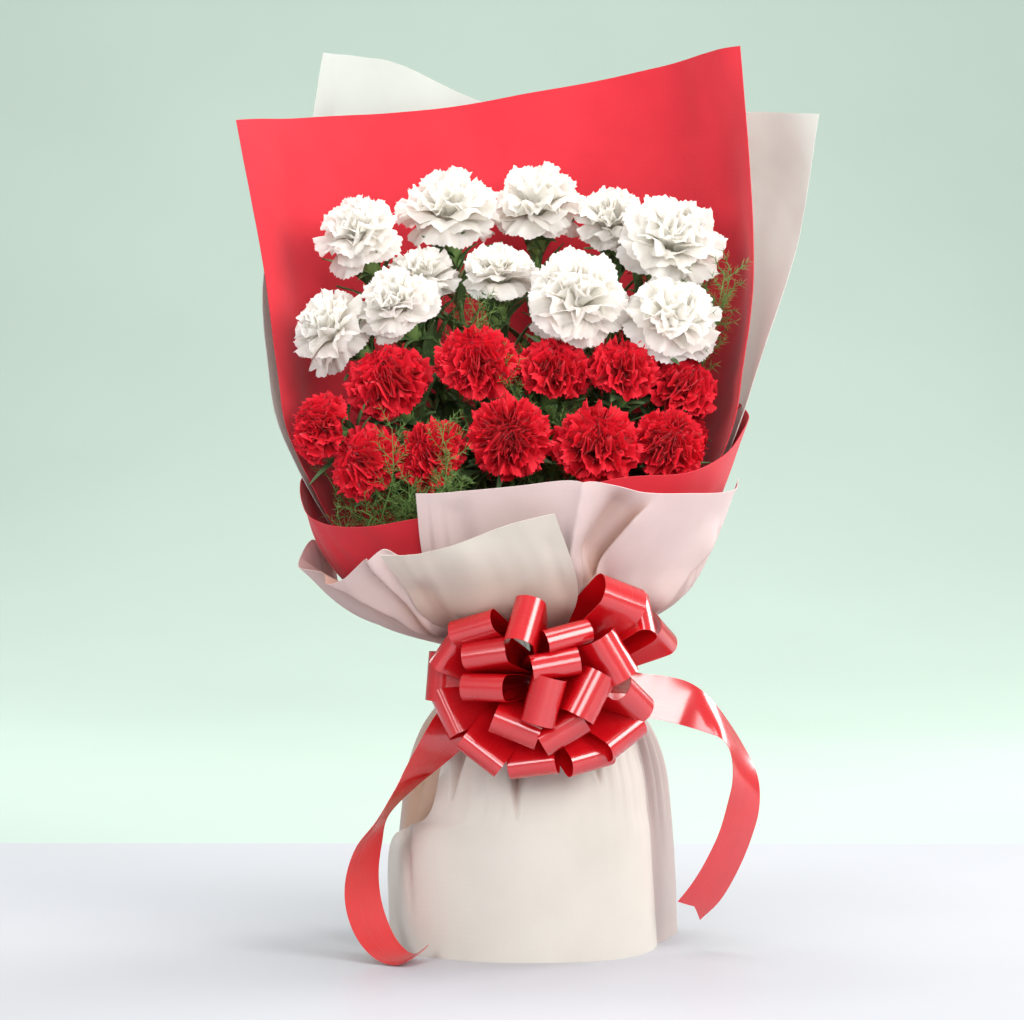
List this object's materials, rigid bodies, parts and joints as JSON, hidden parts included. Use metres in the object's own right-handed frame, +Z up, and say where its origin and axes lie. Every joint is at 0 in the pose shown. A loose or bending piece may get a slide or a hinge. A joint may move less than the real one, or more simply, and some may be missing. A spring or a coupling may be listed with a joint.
{
  "type": "bunch of carnations",
  "caption": "Hand-tied bunch of red and white carnations in a gathered red and cream wrap with a ribbon pull bow, standing on its cut stems and the wrap's flared skirt.",
  "frame": {"origin": "on the table, under the middle of the bunch's bounding box", "axes": "+Z up along the stems, -Y towards the front with the bow, +X to the right seen from the front"},
  "size_m": [0.3566, 0.2456, 0.5431],
  "materials": {
    "red_sheet": "matt non-woven sheet",
    "cream_sheet": "matt non-woven sheet",
    "ribbon": "glossy satin ribbon",
    "string": "twisted string",
    "white_petal": "soft matt petals",
    "red_petal": "velvety petals",
    "green_stem": "waxy green stem, calyx and leaves",
    "fern": "fine green needles"
  },
  "bodies": {
    "root": {"back_sheet_red": "red_sheet", "back_sheet_cream": "cream_sheet", "collar_red": "red_sheet", "front_sheet_right": "cream_sheet", "side_wing_left": "cream_sheet", "front_sheet_left": "cream_sheet", "skirt_back": "cream_sheet", "skirt_front": "cream_sheet", "stem_tie": "string", "bloom_white_top_1": "white_petal", "bloom_white_top_2": "white_petal", "bloom_white_top_3": "white_petal", "bloom_white_top_4": "white_petal", "bloom_white_top_5": "white_petal", "bloom_white_mid_1": "white_petal", "bloom_white_mid_2": "white_petal", "bloom_white_mid_3": "white_petal", "bloom_white_mid_4": "white_petal", "bloom_white_mid_5": "white_petal", "bloom_white_mid_6": "white_petal", "bloom_red_upper_1": "red_petal", "bloom_red_upper_2": "red_petal", "bloom_red_upper_3": "red_petal", "bloom_red_upper_4": "red_petal", "bloom_red_upper_5": "red_petal", "bloom_red_upper_6": "red_petal", "bloom_red_upper_7": "red_petal", "bloom_red_lower_1": "red_petal", "bloom_red_lower_2": "red_petal", "bloom_red_lower_3": "red_petal", "bloom_red_lower_4": "red_petal", "bloom_red_lower_5": "red_petal", "stem_white_top_1": "green_stem", "stem_white_top_2": "green_stem", "stem_white_top_3": "green_stem", "stem_white_top_4": "green_stem", "stem_white_top_5": "green_stem", "stem_white_mid_1": "green_stem", "stem_white_mid_2": "green_stem", "stem_white_mid_3": "green_stem", "stem_white_mid_4": "green_stem", "stem_white_mid_5": "green_stem", "stem_white_mid_6": "green_stem", "stem_red_upper_1": "green_stem", "stem_red_upper_2": "green_stem", "stem_red_upper_3": "green_stem", "stem_red_upper_4": "green_stem", "stem_red_upper_5": "green_stem", "stem_red_upper_6": "green_stem", "stem_red_upper_7": "green_stem", "stem_red_lower_1": "green_stem", "stem_red_lower_2": "green_stem", "stem_red_lower_3": "green_stem", "stem_red_lower_4": "green_stem", "stem_red_lower_5": "green_stem", "fern_left": "fern", "fern_middle": "fern", "fern_right": "fern", "ribbon": "ribbon", "bow_rosette": "ribbon"}
  },
  "joints": []
}
